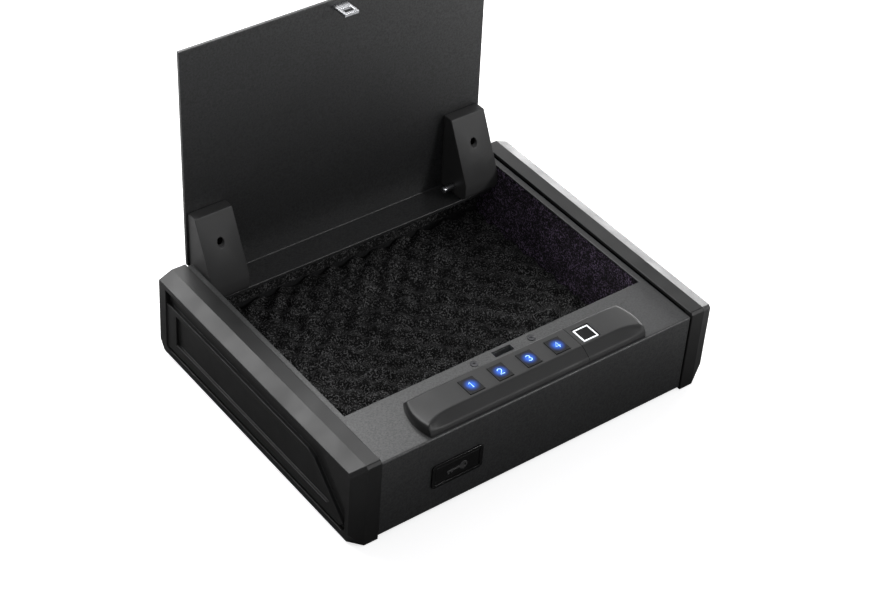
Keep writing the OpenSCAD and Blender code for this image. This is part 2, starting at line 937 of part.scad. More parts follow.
// Open tray with a floor rib between the cells
module battery_box() {
    wall = 1.4;
    front = cell_y - cell_r - 0.4;
    color("#1a1a1c") difference() {
        block([battery_x[0], front - wall, 5.2], [battery_x[1], cover_front, 67]);
        block([battery_x[0] + wall, front, 5.2 + wall], [battery_x[1] - wall, cover_front + 1, 67 - wall]);
    }
}

module battery_cells() {
    color("#c8862f") for (i = [0:3]) {
        x = (battery_x[0] + battery_x[1] - cell_len) / 2;
        translate([0, 0, cell_z0 + i * cell_pitch]) {
            rod_x([x + 1.2, cell_y, 0], cell_r, cell_len - 1.2);
            rod_x([x, cell_y, 0], 2.7, 1.3);
        }
    }
}

// Contact plates at both ends of the cells
module battery_contacts() {
    color("#c9ccd0") for (i = [0:3], end = [0, 1]) {
        x = end == 0 ? battery_x[0] + 1.4 : battery_x[1] - 1.8;
        block([x, cell_y - 5, cell_z0 + i * cell_pitch - 5],
              [x + 0.4, cell_y + 5, cell_z0 + i * cell_pitch + 5]);
    }
}

// Cover over the cells; it slides sideways to come free
module battery_cover() {
    plate_y = cover_rear + 0.2;
    color("#1f2022") {
        block([battery_x[0] - 2, plate_y, 5.4], [battery_x[1] + 2, plate_y + 1.6, 66.4]);
        for (i = [0:4])
            block([battery_x[1] - 14 + i * 2.4, plate_y + 1.6 - eps, 28],
                  [battery_x[1] - 13 + i * 2.4, plate_y + 2.3, 44]);
        block([battery_x[0] + 10, cover_front - 0.3, 30], [battery_x[1] - 16, plate_y + eps, 34]);
    }
}

module control_board() {
    low = floor_top + 4.5;
    parts = [[-22, -104, 12, 12, 2], [4, -106, 8, 8, 3], [20, -92, 14, 6, 5], [-24, -88, 8, 5, 6],
             [-4, -90, 6, 6, 1.5]];
    color("#1d5c34") difference() {
        block([-40, -116, low], [38, -77, low + 1.6]);
        for (p = BOARD_SCREWS)
            rod_z([p[0], p[1], low - 1], 1.25, 4);
    }
    color("#232427") for (p = parts)
        block([p[0], p[1], low + 1.6 - eps], [p[0] + p[2], p[1] + p[3], low + 1.6 + p[4]]);
}

module board_screws() {
    color("#8a8c90") for (p = BOARD_SCREWS)
        translate([p[0], p[1], floor_top + 6.1]) rotate([180, 0, 0]) screw(2.4, 1.4, 1.25, 5);
}

module buzzer() {
    low = floor_top + 6.1;
    color("#111113") translate([-10, -84, low]) difference() {
        cylinder(r = 5.5, h = 7);
        translate([0, 0, 6]) cylinder(r = 1, h = 2);
    }
}

// Cables from the keypad board, the solenoid and the battery box to the control board
module wire_harness() {
    low = floor_top + 6.1;
    color("#303236") {
        cable([[-32, con_mid, board_z - 1.2], [-32, con_mid, 60], [-34, -106, 40], [-30, -106, low + 1.1]],
              1.1);
        cable([[16, -112, bolt_z - 14], [16, -112, 30], [16, -112, low + 1]], 0.9);
        cable([[48.6, -100, 30], [44, -100, 18], [30, -100, low + 1]], 0.9);
    }
}

// ---- foam ----

module floor_foam() {
    color("#1b1b1d") difference() {
        block([-rim_x + 0.4, cover_rear + 4.3, floor_top], [rim_x - 0.4, rear_y - sheet_t - 0.1, foam_top]);
        for (p = MOUNTS)
            rod_z([p[0], p[1], floor_top - 1], 9, foam_top);
    }
}

// Liner on a side wall with room for the hinge lug and the cap screws
module side_liner() {
    color("#231f26") difference() {
        block([wall_x - foam_t + 0.1, cover_rear + 0.3, floor_top + 0.1],
              [wall_x - 0.1, rear_y - sheet_t - 0.1, deck_low - 0.1]);
        block([rim_x - 2, pin_y - 8.6, pin_z - 14.6], [box_x, rear_y, deck_z]);
        for (p = CAP_SCREWS)
            rod_x([wall_x - foam_t - 1, p[0], p[1]], 4, 10);
        for (z = [24, 54])
            rod_y([130, cover_rear, z], 3.6, 2.4);
    }
}

module right_foam_liner() {
    side_liner();
}

module left_foam_liner() {
    mirror([1, 0, 0]) side_liner();
}

module front_foam_liner() {
    color("#1b1b1d")
        block([-rim_x + 4.6, cover_rear + 0.1, floor_top + 0.1], [battery_x[0] - 2.6, cover_rear + 4.1, 66]);
}

module rear_foam_liner() {
    color("#1b1b1d")
        block([-rim_x + 0.5, rear_y - sheet_t - foam_t, foam_top + 0.1],
              [rim_x - 0.5, rear_y - sheet_t - 0.1, pin_z - 18.6]);
}

body_shell();
hinge_lugs();
left_end_cap();
right_end_cap();
rubber_feet();
cap_screws();
lid_panel();
left_hinge_arm();
right_hinge_arm();
left_hinge_pin();
right_hinge_pin();
left_lid_spring();
right_lid_spring();
striker();
control_housing();
biometric_housing();
key_1();
key_2();
key_3();
key_4();
keypad_board();
key_switches();
fingerprint_sensor();
sensor_frame();
console_screws();
deck_screws();
latch_bracket();
solenoid();
latch_bolt();
key_cover_frame();
key_cover();
lock_barrel();
lock_nut();
lock_plug();
lock_cam();
release_bar();
compartment_cover();
cover_screws();
battery_box();
battery_cells();
battery_contacts();
battery_cover();
control_board();
board_screws();
buzzer();
wire_harness();
floor_foam();
left_foam_liner();
right_foam_liner();
front_foam_liner();
rear_foam_liner();
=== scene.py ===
import math
import bmesh
import bpy
from mathutils import Matrix, Vector, noise


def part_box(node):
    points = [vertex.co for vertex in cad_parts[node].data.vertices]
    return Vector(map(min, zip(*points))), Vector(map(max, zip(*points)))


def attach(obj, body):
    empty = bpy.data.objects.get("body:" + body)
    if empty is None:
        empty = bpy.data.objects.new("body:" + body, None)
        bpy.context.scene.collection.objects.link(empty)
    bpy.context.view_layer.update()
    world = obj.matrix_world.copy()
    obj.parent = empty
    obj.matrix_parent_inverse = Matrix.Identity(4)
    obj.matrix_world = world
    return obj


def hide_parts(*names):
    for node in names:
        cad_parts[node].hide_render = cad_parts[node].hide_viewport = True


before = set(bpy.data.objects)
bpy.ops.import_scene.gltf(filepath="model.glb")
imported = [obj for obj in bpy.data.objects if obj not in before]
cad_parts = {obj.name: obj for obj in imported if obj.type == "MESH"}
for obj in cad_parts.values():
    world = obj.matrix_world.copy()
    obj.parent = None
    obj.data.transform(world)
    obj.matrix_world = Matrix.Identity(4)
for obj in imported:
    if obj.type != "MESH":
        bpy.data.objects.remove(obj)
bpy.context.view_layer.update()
MM = 0.001


# ---- node materials ----

class Look:
    """A node material: patterns in the object's own space feed its colour, roughness and relief."""

    def __init__(self, name, metallic=0.0, specular=0.5):
        self.material = bpy.data.materials.new("look_" + name)
        self.material.use_nodes = True
        self.tree = self.material.node_tree
        self.surface = self.tree.nodes["Principled BSDF"]
        self.set("Metallic", metallic)
        self.set("Specular IOR Level", specular)
        self.coordinates = self.node("TexCoord")
        self.place = self.coordinates.outputs["Object"]
        self.relief = None

    def node(self, kind, inputs=None, **settings):
        made = self.tree.nodes.new("ShaderNode" + kind)
        for key, value in settings.items():
            setattr(made, key, value)
        for key, value in (inputs or {}).items():
            self.feed(made.inputs[key], value)
        return made

    def feed(self, socket, value):
        if isinstance(value, bpy.types.NodeSocket):
            self.tree.links.new(value, socket)
        else:
            socket.default_value = value

    def set(self, name, value):
        self.feed(self.surface.inputs[name], value)

    def noise(self, size, detail=2.0, stretch=(1, 1, 1)):
        """Cloudy pattern from 0 to 1 with features about size across."""
        place = self.node("Mapping", {"Vector": self.place, "Scale": stretch}).outputs[0]
        made = self.node("TexNoise", {"Vector": place, "Scale": 1 / size, "Detail": detail})
        return made.outputs[0]

    def cells(self, size, feature="F1"):
        """Distance to the middle of the nearest cell, with cells about size across."""
        made = self.node("TexVoronoi", {"Vector": self.place, "Scale": 1 / size}, feature=feature)
        return made.outputs["Distance"]

    def math(self, operation, a, b=0.0):
        made = self.node("Math", operation=operation)
        self.feed(made.inputs[0], a)
        self.feed(made.inputs[1], b)
        return made.outputs[0]

    def span(self, value, start, end, low, high):
        """Maps value from start..end to low..high."""
        ends = {"Value": value, "From Min": start, "From Max": end, "To Min": low, "To Max": high}
        return self.node("MapRange", ends).outputs[0]

    def ramp(self, value, low, high, at=(0.3, 0.7)):
        """Colour that runs from low to high."""
        made = self.node("ValToRGB", {"Fac": value})
        for stop, place, colour in zip(made.color_ramp.elements, at, (low, high)):
            stop.position = place
            stop.color = (*colour, 1)
        return made.outputs[0]

    def mix(self, share, a, b):
        made = self.node("Mix", data_type="RGBA")
        self.feed(made.inputs[0], share)
        self.feed(made.inputs[6], a)
        self.feed(made.inputs[7], b)
        return made.outputs[2]

    def bump(self, height, distance, strength=1.0):
        """Adds relief of that depth on top of the relief added before."""
        inputs = {"Height": height, "Distance": distance, "Strength": strength}
        if self.relief is not None:
            inputs["Normal"] = self.relief
        self.relief = self.node("Bump", inputs).outputs[0]
        self.set("Normal", self.relief)

    def drifting(self, colour, spread, size=40 * MM):
        """The base colour, a little darker and lighter from place to place."""
        low = [c * (1 - spread) for c in colour]
        high = [c * (1 + spread) for c in colour]
        return self.ramp(self.noise(size, 3), low, high)


def grey(value, warmth=0.0):
    return (value * (1 + warmth), value, value * (1 - warmth))


def powder_coat(name, shade, roughness, speck=0.75, depth=0.13 * MM):
    """Baked powder paint on sheet steel: a sandy grain that catches the light in specks."""
    look = Look(name, specular=0.85)
    grain = look.noise(1.5 * MM, 3)
    fine = look.noise(0.7 * MM, 2)
    both = look.math("ADD", look.math("MULTIPLY", grain, 0.6), look.math("MULTIPLY", fine, 0.4))
    dark = grey(shade * (1 - speck), -0.03)
    light = grey(shade * (1 + speck), -0.03)
    speckle = look.ramp(both, dark, light, (0.38, 0.62))
    look.set("Base Color", look.mix(0.25, speckle, look.drifting(grey(shade), 0.2)))
    look.set("Roughness", look.span(both, 0.35, 0.65, roughness + 0.1, roughness - 0.1))
    look.bump(both, depth, 0.8)
    look.bump(look.noise(14 * MM, 2), 0.1 * MM, 0.4)
    return look


def moulded(name, shade, roughness, grain=0.4 * MM, warmth=0.0, specular=0.5, depth=0.012 * MM):
    """Moulded plastic with a fine spark-eroded texture and slow changes of gloss."""
    look = Look(name, specular=specular)
    fine = look.noise(grain, 3)
    slow = look.noise(22 * MM, 3)
    look.set("Base Color", look.mix(look.span(fine, 0.3, 0.7, 0, 0.5),
                                    look.drifting(grey(shade * 0.86, warmth), 0.1),
                                    look.drifting(grey(shade * 1.2, warmth), 0.1)))
    look.set("Roughness", look.span(slow, 0.3, 0.7, roughness - 0.05, roughness + 0.06))
    look.bump(fine, depth, 0.5)
    return look


def metal(name, colour, roughness, stretch=(1, 1, 1), grain=0.6 * MM):
    """Bare or plated metal: stretch draws the grain out into brushed lines."""
    look = Look(name, metallic=1.0)
    lines = look.noise(grain, 4, stretch)
    look.set("Base Color", look.mix(look.span(lines, 0.3, 0.7, 0, 0.6),
                                    look.drifting([c * 0.8 for c in colour], 0.08),
                                    look.drifting(colour, 0.05)))
    look.set("Roughness", look.span(lines, 0.25, 0.75, roughness - 0.07, roughness + 0.09))
    look.bump(lines, 0.01 * MM, 0.5)
    return look


def zinc():
    """Zinc plate with its faint crystal patches."""
    look = metal("zinc_steel", (0.62, 0.64, 0.66), 0.36)
    patches = look.cells(3.2 * MM)
    look.set("Roughness", look.span(patches, 0, 0.7, 0.25, 0.5))
    return look


def gloss_black(name, tipped=0.0):
    """Polished black moulding with faint rub marks; tipped is the paler share at its front."""
    look = Look(name, specular=0.3)
    marks = look.noise(2.5 * MM, 5, (1, 1, 6))
    colour = look.drifting(grey(0.006), 0.3)
    if tipped:
        depth = look.node("SeparateXYZ", {0: look.coordinates.outputs["Generated"]}).outputs[1]
        front = look.span(depth, tipped * 0.5, tipped * 0.9, 1, 0)
        colour = look.mix(front, colour, look.drifting(grey(0.055), 0.2))
    look.set("Base Color", colour)
    look.set("Roughness", look.span(marks, 0.3, 0.7, 0.1, 0.22))
    look.set("Coat Weight", 0.1)
    look.set("Coat Roughness", 0.06)
    look.bump(marks, 0.003 * MM, 0.5)
    return look


def open_cell_foam(name, low, high):
    """Open-cell foam: pores a millimetre across with lit strands between them."""
    look = Look(name, specular=0.12)
    pores = look.cells(1.15 * MM)
    strands = look.cells(0.8 * MM, "DISTANCE_TO_EDGE")
    fibre = look.noise(1.2 * MM, 3)
    # Painted shade and light: each pore is darkened towards its middle as painted shade in the hollow, and
    # the fibres lighten the strands between pores as painted highlights.
    shade = look.math("MULTIPLY", look.span(pores, 0.1, 0.75, 0.4, 1), look.span(fibre, 0.47, 0.62, 0.02, 1))
    patch = look.noise(9 * MM, 2)
    tone = look.math("MULTIPLY", shade, look.span(patch, 0.3, 0.7, 0.5, 1.2))
    look.set("Base Color", look.ramp(tone, low, high, (0.15, 0.9)))
    look.set("Roughness", look.span(fibre, 0.3, 0.7, 0.85, 1.0))
    look.set("Sheen Weight", 0.06)
    look.set("Sheen Roughness", 0.6)
    look.bump(pores, 0.5 * MM, 0.8)
    look.bump(look.span(strands, 0, 0.2, 1, 0), 0.2 * MM, 0.5)
    return look


def lit_key():
    """Dark translucent key cap with a blue lamp under its middle."""
    look = moulded("key_plastic", 0.008, 0.4, specular=0.2)
    middle = look.node("VectorMath", {0: look.coordinates.outputs["Generated"], 1: (0.5, 0.5, 0)},
                       operation="SUBTRACT").outputs[0]
    flat = look.node("VectorMath", {0: middle, 1: (0.015, 0.0172, 0)}, operation="MULTIPLY").outputs[0]
    reach = look.node("VectorMath", {0: flat}, operation="LENGTH").outputs["Value"]
    height = look.node("SeparateXYZ", {0: look.coordinates.outputs["Generated"]}).outputs[2]
    glow = look.node("MapRange", {"Value": reach, "From Min": 0.6 * MM, "From Max": 7.6 * MM, "To Min": 1,
                                  "To Max": 0}, interpolation_type="SMOOTHSTEP").outputs[0]
    top = look.span(height, 0.8, 0.9, 0, 1)
    veil = look.span(look.noise(0.8 * MM, 2), 0.3, 0.7, 0.85, 1.1)
    look.set("Emission Color", look.ramp(glow, (0.0, 0.01, 0.08), (0.035, 0.19, 1.0), (0.03, 0.9)))
    look.set("Emission Strength", look.math("MULTIPLY", look.math("MULTIPLY", glow, top), veil))
    return look


def lamp(name, colour, strength):
    """A part that shines evenly, with the slight mottling of a light guide."""
    look = Look(name, specular=0.3)
    veil = look.noise(1.6 * MM, 3)
    look.set("Base Color", look.drifting(colour, 0.06))
    look.set("Roughness", look.span(veil, 0.3, 0.7, 0.3, 0.45))
    look.set("Emission Color", (*colour, 1))
    look.set("Emission Strength", look.span(veil, 0.2, 0.8, strength * 0.9, strength))
    return look


def circuit_board():
    """Green solder mask over a grid of copper tracks."""
    look = Look("circuit_board", specular=0.5)
    tracks = look.node("TexBrick", {"Vector": look.place, "Scale": 260.0, "Mortar Size": 0.03})
    mask = look.ramp(look.noise(3 * MM, 2), (0.008, 0.05, 0.018), (0.014, 0.085, 0.03))
    look.set("Base Color", look.mix(look.span(tracks.outputs["Fac"], 0, 1, 0, 0.4), mask,
                                    (0.1, 0.28, 0.09, 1)))
    look.set("Roughness", look.span(look.noise(2 * MM, 2), 0.3, 0.7, 0.25, 0.4))
    look.bump(tracks.outputs["Fac"], 0.03 * MM, 0.6)
    return look


def cell_wrap():
    """Printed film on a battery cell: dark with a copper band at one end."""
    look = Look("cell_wrap", specular=0.6)
    along = look.node("SeparateXYZ", {0: look.coordinates.outputs["Generated"]}).outputs[0]
    band = look.node("Math", {0: along, 1: 0.72}, operation="GREATER_THAN").outputs[0]
    wrap = look.drifting(grey(0.03), 0.2)
    copper = look.drifting((0.42, 0.2, 0.07), 0.1)
    look.set("Base Color", look.mix(band, wrap, copper))
    look.set("Roughness", look.span(look.noise(4 * MM, 3), 0.3, 0.7, 0.25, 0.4))
    look.bump(look.noise(1.5 * MM, 2), 0.01 * MM, 0.4)
    return look


LOOKS = {
    "powder_coated_steel": powder_coat("powder_coated_steel", 0.022, 0.44),
    "cap_plastic": moulded("cap_plastic", 0.014, 0.4, specular=0.36),
    "arm_plastic": moulded("arm_plastic", 0.05, 0.45),
    "console_plastic": moulded("console_plastic", 0.018, 0.48, specular=0.42),
    "black_plastic": moulded("black_plastic", 0.014, 0.4),
    "gloss_black": gloss_black("gloss_black"),
    "key_plastic": lit_key(),
    "sensor_glass": moulded("sensor_glass", 0.006, 0.16, 0.5 * MM),
    "light_frame": lamp("light_frame", (0.9, 0.92, 0.95), 0.75),
    "black_foam": open_cell_foam("black_foam", grey(0.0025), grey(0.16)),
    "black_rubber": moulded("black_rubber", 0.014, 0.72, 0.9 * MM, specular=0.25, depth=0.04 * MM),
    "bright_steel": metal("bright_steel", (0.72, 0.73, 0.75), 0.24, (1, 12, 12)),
    "zinc_steel": zinc(),
    "dark_steel": metal("dark_steel", (0.09, 0.09, 0.095), 0.4),
    "spring_steel": metal("spring_steel", (0.45, 0.46, 0.48), 0.3, (3, 1, 1)),
    "chrome_plate": metal("chrome_plate", (0.85, 0.86, 0.88), 0.12, grain=1.5 * MM),
    "brass": metal("brass", (0.8, 0.58, 0.25), 0.28, (8, 1, 8)),
    "circuit_board": circuit_board(),
    "solenoid_case": metal("solenoid_case", (0.3, 0.31, 0.33), 0.4, (1, 8, 1)),
    "cell_wrap": cell_wrap(),
    "cable_jacket": moulded("cable_jacket", 0.02, 0.45, 0.8 * MM),
}


# ---- CAD nodes: looks and broken edges ----

def smooth_by_angle(name, limit):
    """Node group that keeps an edge sharp where its faces meet at more than limit."""
    group = bpy.data.node_groups.new(name, "GeometryNodeTree")
    group.interface.new_socket("Geometry", in_out="INPUT", socket_type="NodeSocketGeometry")
    group.interface.new_socket("Geometry", in_out="OUTPUT", socket_type="NodeSocketGeometry")
    start = group.nodes.new("NodeGroupInput")
    end = group.nodes.new("NodeGroupOutput")
    angle = group.nodes.new("GeometryNodeInputMeshEdgeAngle")
    sharp = group.nodes.new("FunctionNodeCompare")
    sharp.operation = "GREATER_THAN"
    sharp.inputs[1].default_value = limit
    faces = group.nodes.new("GeometryNodeSetShadeSmooth")
    edges = group.nodes.new("GeometryNodeSetShadeSmooth")
    edges.domain = "EDGE"
    edges.inputs["Shade Smooth"].default_value = False
    link = group.links.new
    link(start.outputs[0], faces.inputs["Geometry"])
    link(angle.outputs["Unsigned Angle"], sharp.inputs[0])
    link(sharp.outputs[0], edges.inputs["Selection"])
    link(faces.outputs[0], edges.inputs["Geometry"])
    link(edges.outputs[0], end.inputs[0])
    return group


ROUNDED = smooth_by_angle("rounded", math.radians(34))
FACETED = smooth_by_angle("faceted", math.radians(16))
EDGE_BREAK = {
    "body_shell": 0.45, "left_end_cap": 0.6, "right_end_cap": 0.6, "lid_panel": 0.7,
    "left_hinge_arm": 0.7, "right_hinge_arm": 0.7, "control_housing": 0.3, "biometric_housing": 0.3,
    "key_1": 0.25, "key_2": 0.25, "key_3": 0.25, "key_4": 0.25, "key_cover_frame": 0.5,
    "key_cover": 0.2, "fingerprint_sensor": 0.2, "sensor_frame": 0.15, "rubber_feet": 0.4,
    "battery_box": 0.4, "battery_cover": 0.4, "compartment_cover": 0.25, "hinge_lugs": 0.4,
    "striker": 0.3, "latch_bolt": 0.2, "latch_bracket": 0.2, "solenoid": 0.3, "control_board": 0.1,
}


def finish_node(node, obj):
    """Gives a CAD node its look, merges its split corners and breaks its sharp edges."""
    mesh = obj.data
    slot = mesh.materials[0].name
    mesh.materials[0] = LOOKS.get(node, LOOKS[slot]).material
    if "custom_normal" in mesh.attributes:
        mesh.attributes.remove(mesh.attributes["custom_normal"])
    obj.modifiers.new("merge", "WELD").merge_threshold = 0.002 * MM
    flat = obj.modifiers.new("flat", "DECIMATE")
    flat.decimate_type = "DISSOLVE"
    flat.angle_limit = math.radians(0.4)
    obj.modifiers.new("shade", "NODES").node_group = FACETED if node.endswith("end_cap") else ROUNDED
    if node in EDGE_BREAK:
        edge = obj.modifiers.new("edge", "BEVEL")
        edge.width = EDGE_BREAK[node] * MM
        edge.segments = 2
        edge.limit_method = "ANGLE"
        edge.angle_limit = math.radians(40)
        edge.use_clamp_overlap = False
        edge.harden_normals = True


SYMBOL_RELIEF = 0.5 * MM
COVER_LOW, COVER_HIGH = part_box("key_cover")
LOOKS["key_cover"] = gloss_black("key_cover_gloss", SYMBOL_RELIEF / (COVER_HIGH.y - COVER_LOW.y))
for node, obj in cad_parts.items():
    finish_node(node, obj)


# ---- foam ----

def solid_mesh(name, points, faces, look):
    """A new piece in the scene with one look."""
    mesh = bpy.data.meshes.new(name)
    mesh.from_pydata(points, [], faces)
    mesh.materials.append(look.material)
    obj = bpy.data.objects.new(name, mesh)
    bpy.context.scene.collection.objects.link(obj)
    return obj


def sheet(name, look, axes, corner, size, front, back, keep=None, step=1.6 * MM):
    """A soft sheet laid on a grid: front and back give its two faces' heights at a place in the grid.

    axes holds the directions of the grid's first side, its second side and its height."""
    counts = [max(2, round(s / step)) for s in size]
    along, across, up = [Vector(a) for a in axes]
    corner = Vector(corner)
    points, columns = [], counts[1] + 1
    for face in (front, back):
        for i in range(counts[0] + 1):
            for j in range(columns):
                u, v = size[0] * i / counts[0], size[1] * j / counts[1]
                points.append(corner + along * u + across * v + up * face(u, v))
    half = (counts[0] + 1) * columns
    cells = set()
    for i in range(counts[0]):
        for j in range(counts[1]):
            u, v = size[0] * (i + 0.5) / counts[0], size[1] * (j + 0.5) / counts[1]
            if keep is None or keep(u, v):
                cells.add((i, j))
    flip = along.cross(across).dot(up) < 0
    faces = []
    for i, j in sorted(cells):
        ring = [i * columns + j, (i + 1) * columns + j, (i + 1) * columns + j + 1, i * columns + j + 1]
        faces.append(ring[::-1] if flip else ring)
        faces.append([p + half for p in (ring if flip else ring[::-1])])
        for k, (di, dj) in enumerate(((0, -1), (1, 0), (0, 1), (-1, 0))):
            if (i + di, j + dj) not in cells:
                a, b = ring[k], ring[(k + 1) % 4]
                side = [b, a, a + half, b + half]
                faces.append(side[::-1] if flip else side)
    obj = solid_mesh(name, points, faces, look)
    drop_loose_points(obj.data)
    obj.data.shade_smooth()
    return obj


def drop_loose_points(mesh):
    """Removes the grid points that no face uses."""
    work = bmesh.new()
    work.from_mesh(mesh)
    loose = [v for v in work.verts if not v.link_faces]
    bmesh.ops.delete(work, geom=loose, context="VERTS")
    work.to_mesh(mesh)
    work.free()


def soft_edge(u, v, size, radius):
    """How far a soft sheet's face falls away close to its outline."""
    near = min(u, v, size[0] - u, size[1] - v)
    if near >= radius:
        return 0.0
    return radius - math.sqrt(max(0.0, radius * radius - (radius - near) ** 2))


def lumps(place, size, seed):
    return noise.noise(Vector(place) / size + Vector((seed, seed * 1.7, 0)))


PUCKER = 11.0 * MM
SWELL = 3.0 * MM


def crate(x, y):
    """Height of the convoluted foam: rows of soft peaks with hollows between."""
    wander = 5.5 * MM
    x, y = (x + wander * lumps((x, y, 0), 17 * MM, 3.1), y + wander * lumps((x, y, 0), 17 * MM, 8.4))
    wave = math.cos(math.pi * x / PUCKER) * math.cos(math.pi * y / PUCKER)
    crown = wave * (1 + 0.5 * lumps((x, y, 0), 14 * MM, 6.3))
    tooth = 0.9 * MM * lumps((x, y, 0), 3.4 * MM, 5.0) + 1.1 * MM * lumps((x, y, 0), 9 * MM, 2.0)
    return SWELL * (crown - 1) + tooth - 1.1 * MM


def floor_foam():
    low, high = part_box("floor_foam")
    size = (high.x - low.x, high.y - low.y)
    thick = high.z - low.z

    def front(u, v):
        return thick + min(0.0, crate(u, v)) - soft_edge(u, v, size, 2.5 * MM)

    obj = sheet("egg_crate_foam", LOOKS["black_foam"], ((1, 0, 0), (0, 1, 0), (0, 0, 1)), low, size,
                front, lambda u, v: 0.0)
    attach(obj, "body")
    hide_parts("floor_foam")


def wall_foam(node, look, axes, corner, size, thick, seed, keep=None):
    """A flat foam liner with a soft outline and a slightly wavy, cut face."""
    def front(u, v):
        wave = 0.35 * MM * lumps((u, v, 0), 26 * MM, seed) + 0.18 * MM * lumps((u, v, 0), 3 * MM, seed + 4)
        return thick - 0.35 * MM + min(0.3 * MM, wave) - soft_edge(u, v, size, 1.3 * MM)

    obj = sheet(node + "_cut", look, axes, corner, size, front, lambda u, v: 0.0, keep)
    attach(obj, "body")
    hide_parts(node)


def side_foam(node, side, seed):
    """Liner of a side wall, cut away around the hinge lug."""
    low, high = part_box(node)
    lug_low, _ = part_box("hinge_lugs")
    gap = 0.6 * MM
    size = (high.y - low.y, high.z - low.z)
    outer = high.x if side > 0 else low.x
    corner = (outer, low.y, low.z)

    def keep(u, v):
        return not (low.y + u > lug_low.y - gap and low.z + v > lug_low.z - gap)

    wall_foam(node, LOOKS["wall_foam"], ((0, 1, 0), (0, 0, 1), (-side, 0, 0)), corner, size,
              high.x - low.x, seed, keep)


LOOKS["wall_foam"] = open_cell_foam("wall_foam", (0.007, 0.005, 0.008), (0.3, 0.22, 0.36))
floor_foam()
side_foam("left_foam_liner", -1, 1.0)
side_foam("right_foam_liner", 1, 2.0)
low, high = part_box("front_foam_liner")
wall_foam("front_foam_liner", LOOKS["black_foam"], ((1, 0, 0), (0, 0, 1), (0, 1, 0)), low,
          (high.x - low.x, high.z - low.z), high.y - low.y, 3.0)
low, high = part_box("rear_foam_liner")
wall_foam("rear_foam_liner", LOOKS["black_foam"], ((1, 0, 0), (0, 0, 1), (0, -1, 0)), (low.x, high.y, low.z),
          (high.x - low.x, high.z - low.z), high.y - low.y, 4.0)


# ---- console ----

CONSOLE_LOW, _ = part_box("control_housing")
_, CONSOLE_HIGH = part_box("biometric_housing")
DECK = CONSOLE_LOW.z
CROWN = CONSOLE_HIGH.z
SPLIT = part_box("biometric_housing")[0].x
SHELL = 1.8 * MM
END_BOW = 40 * MM
END_WIDEST = 15 * MM
FLAT_HALF = 67 * MM
FALL_RADIUS = 320 * MM
FRONT_WALL = 3.1 * MM
FRONT_RUN = 9.2 * MM
FRONT_RUN_LOSS = 5.2 * MM
FLARE_START = 76 * MM
FLARE_REACH = 17 * MM
FOOT_ROUND = 1.7 * MM
FOOT_DROP = 1.5 * MM
REAR_WALL = 0.5 * MM
REAR_RUN = 6.3 * MM
LIP_REACH = 2.2 * MM
LIP_DROP = 4.4 * MM
DISH = 0.9 * MM


def soft_min(a, b, blend):
    """The lower of two heights, with the crease between them rounded over."""
    near = max(blend - abs(a - b), 0.0) / blend
    return min(a, b) - near * near * blend / 4


def console_end(y):
    """Half length of the console at y: both ends bow outwards."""
    return CONSOLE_HIGH.x - END_BOW + math.sqrt(END_BOW ** 2 - (y - CONSOLE_LOW.y - END_WIDEST) ** 2)


def console_height(x, y):
    """Top of the console: a low crown, a long front slope, a short rear slope and rounded ends."""
    out = abs(x)
    top = CROWN - max(0.0, out - FLAT_HALF) ** 2 / (2 * FALL_RADIUS)
    front = y - CONSOLE_LOW.y
    sweep = min(max((out - FLARE_START) / FLARE_REACH, 0.0), 1.0)
    foot = DECK + FRONT_WALL
    slope = foot + front * (top - foot) / (FRONT_RUN - FRONT_RUN_LOSS * sweep ** 2)
    slope -= FOOT_DROP * max(0.0, 1 - front / FOOT_ROUND) ** 2
    rear = CONSOLE_HIGH.y - y
    back = DECK + REAR_WALL + rear * (top - DECK - REAR_WALL) / REAR_RUN
    height = soft_min(soft_min(top, slope, 0.5 * MM), back, 0.8 * MM)
    edge = console_end(y) - out
    if edge < LIP_REACH:
        lip = top - LIP_DROP + LIP_DROP * math.sqrt(max(0.0, 1 - (1 - edge / LIP_REACH) ** 2))
        height = soft_min(height, lip, 0.5 * MM)
    return height


def spread(stops, step):
    """The stops with enough places between them that none is further than step from the next."""
    places = [stops[0]]
    for a, b in zip(stops, stops[1:]):
        count = max(1, math.ceil((b - a) / step - 1e-6))
        places += [a + (b - a) * k / count for k in range(1, count + 1)]
    return places


EDGE_STOPS = [v * MM for v in (0, 0.1, 0.3, 0.6, 1, 1.5, 2.2, 3, 4.2)]
STRAIGHT = 66 * MM


def console_place(column, y):
    """X of a grid column at y: straight in the middle and bowed towards the console's ends."""
    if abs(column) <= STRAIGHT:
        return column
    share = (abs(column) - STRAIGHT) / (CONSOLE_HIGH.x - STRAIGHT)
    return math.copysign(STRAIGHT + share * (console_end(y) - STRAIGHT), column)


def inset(value, low, high, depth, reach):
    """Draws places near both limits inwards, by depth at the limit itself."""
    near_low = max(0.0, 1 - (value - low) / reach)
    near_high = max(0.0, 1 - (high - value) / reach)
    return value + depth * (near_low - near_high)


